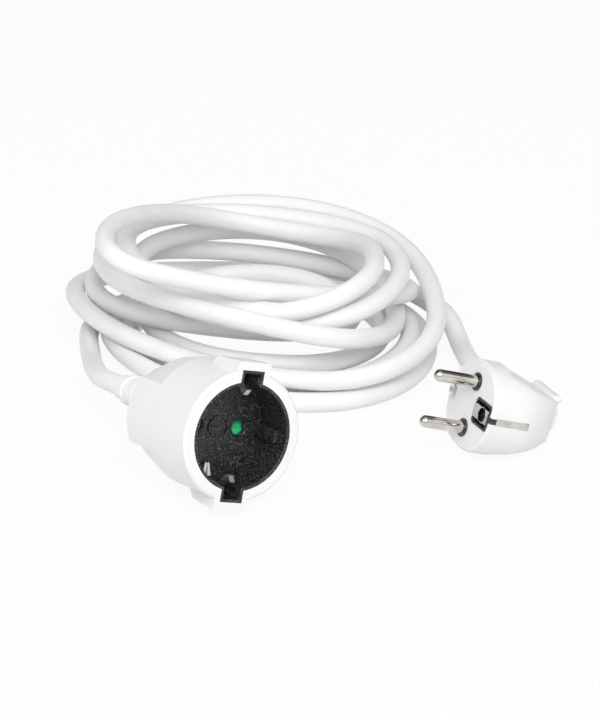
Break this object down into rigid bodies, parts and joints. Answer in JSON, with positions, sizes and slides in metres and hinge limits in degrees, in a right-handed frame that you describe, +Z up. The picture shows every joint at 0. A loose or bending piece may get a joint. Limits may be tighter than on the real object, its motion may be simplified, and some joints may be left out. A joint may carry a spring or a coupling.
{
  "type": "extension cord",
  "caption": "White extension cord lying loosely coiled, with an angled round-pin earthed plug and a shuttered socket with side earth clips.",
  "frame": {"origin": "on the floor, under the middle of the socket's own bounding box", "axes": "+Z up; the socket's face looks along -Y, 5.25 degrees upwards; the coil lies on the +X, +Y side"},
  "size_m": [0.2039, 0.2576, 0.0648],
  "materials": {
    "white_plastic": "satin",
    "black_plastic": "fine grain",
    "grey_plastic": "matt",
    "green_plastic": "matt",
    "white_sheath": "smooth soft",
    "nickel": "nickel plated",
    "brass": "plain",
    "spring_steel": "drawn wire",
    "brown_core": "smooth",
    "blue_core": "smooth",
    "earth_core": "green with yellow stripe"
  },
  "bodies": {
    "cord_set": {"socket_housing": "white_plastic", "socket_insert": "black_plastic", "contact_carrier": "grey_plastic", "shutter_spring": "spring_steel", "contact_live": "brass", "contact_neutral": "brass", "earth_bracket": "nickel", "socket_wire_earth": "earth_core", "socket_wire_live": "brown_core", "socket_wire_neutral": "blue_core", "sheath_in_socket": "white_sheath", "socket_strain_relief": "white_sheath", "plug_core": "black_plastic", "plug_body": "white_plastic", "plug_pin_live": "nickel", "plug_pin_neutral": "nickel", "plug_earth_sleeve": "nickel", "plug_earth_strap": "nickel", "plug_earth_strip": "nickel", "plug_strain_relief": "white_sheath", "sheath_in_plug": "white_sheath", "plug_wire_live": "brown_core", "plug_wire_neutral": "blue_core", "plug_wire_earth": "earth_core", "cord_coil": "white_sheath", "cord_lead_socket": "white_sheath", "cord_lead_plug": "white_sheath"},
    "shutter": {"shutter": "green_plastic"}
  },
  "joints": [
    {"name": "shutter_slide", "type": "slide", "parent": "cord_set", "child": "shutter", "axis": [0.2672, 0.0882, 0.9596], "range_m": [0, 0.0064], "stiffness_N_per_m": 80, "springref_m": -0.003, "deforming": ["shutter_spring"]}
  ]
}
